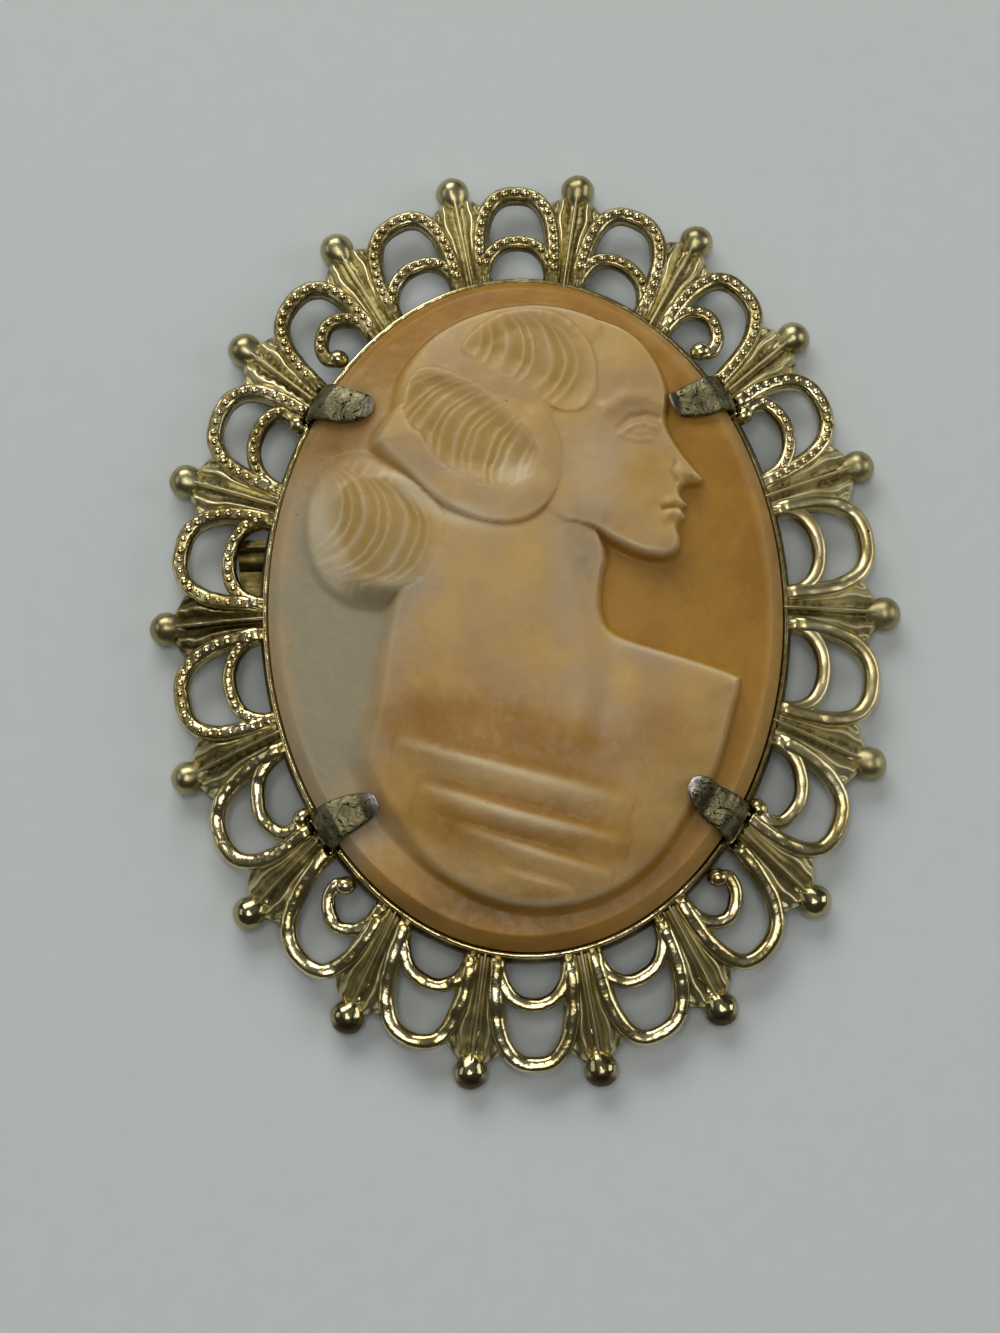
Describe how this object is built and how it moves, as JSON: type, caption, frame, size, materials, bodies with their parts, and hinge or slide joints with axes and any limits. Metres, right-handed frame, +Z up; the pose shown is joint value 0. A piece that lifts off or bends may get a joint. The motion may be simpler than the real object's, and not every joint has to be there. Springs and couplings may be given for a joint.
{
  "type": "cameo brooch",
  "caption": "Oval shell cameo brooch: a carved bust in profile held by four claws in a pierced cast border of ball-ended fans and double arches, with a straight pin across the back.",
  "frame": {"origin": "on the surface that the brooch lies on, under the middle of its oval", "axes": "+Z up out of the face of the cameo, +Y towards the top of the bust, +X towards the side that the bust faces"},
  "size_m": [0.0442, 0.055, 0.0081],
  "materials": {
    "gilt_casting": "pale worn gilt casting, bright on the crests, olive and dark in the grooves",
    "worn_claw_metal": "grey scratched metal with the gilding worn off",
    "carved_shell": "polished carved shell, pale figure on an orange ground",
    "pin_brass": "plain drawn brass"
  },
  "bodies": {
    "root": {"openwork_border": "gilt_casting", "claw_setting": "worn_claw_metal", "cameo": "carved_shell", "pin_back": "pin_brass"}
  },
  "joints": []
}
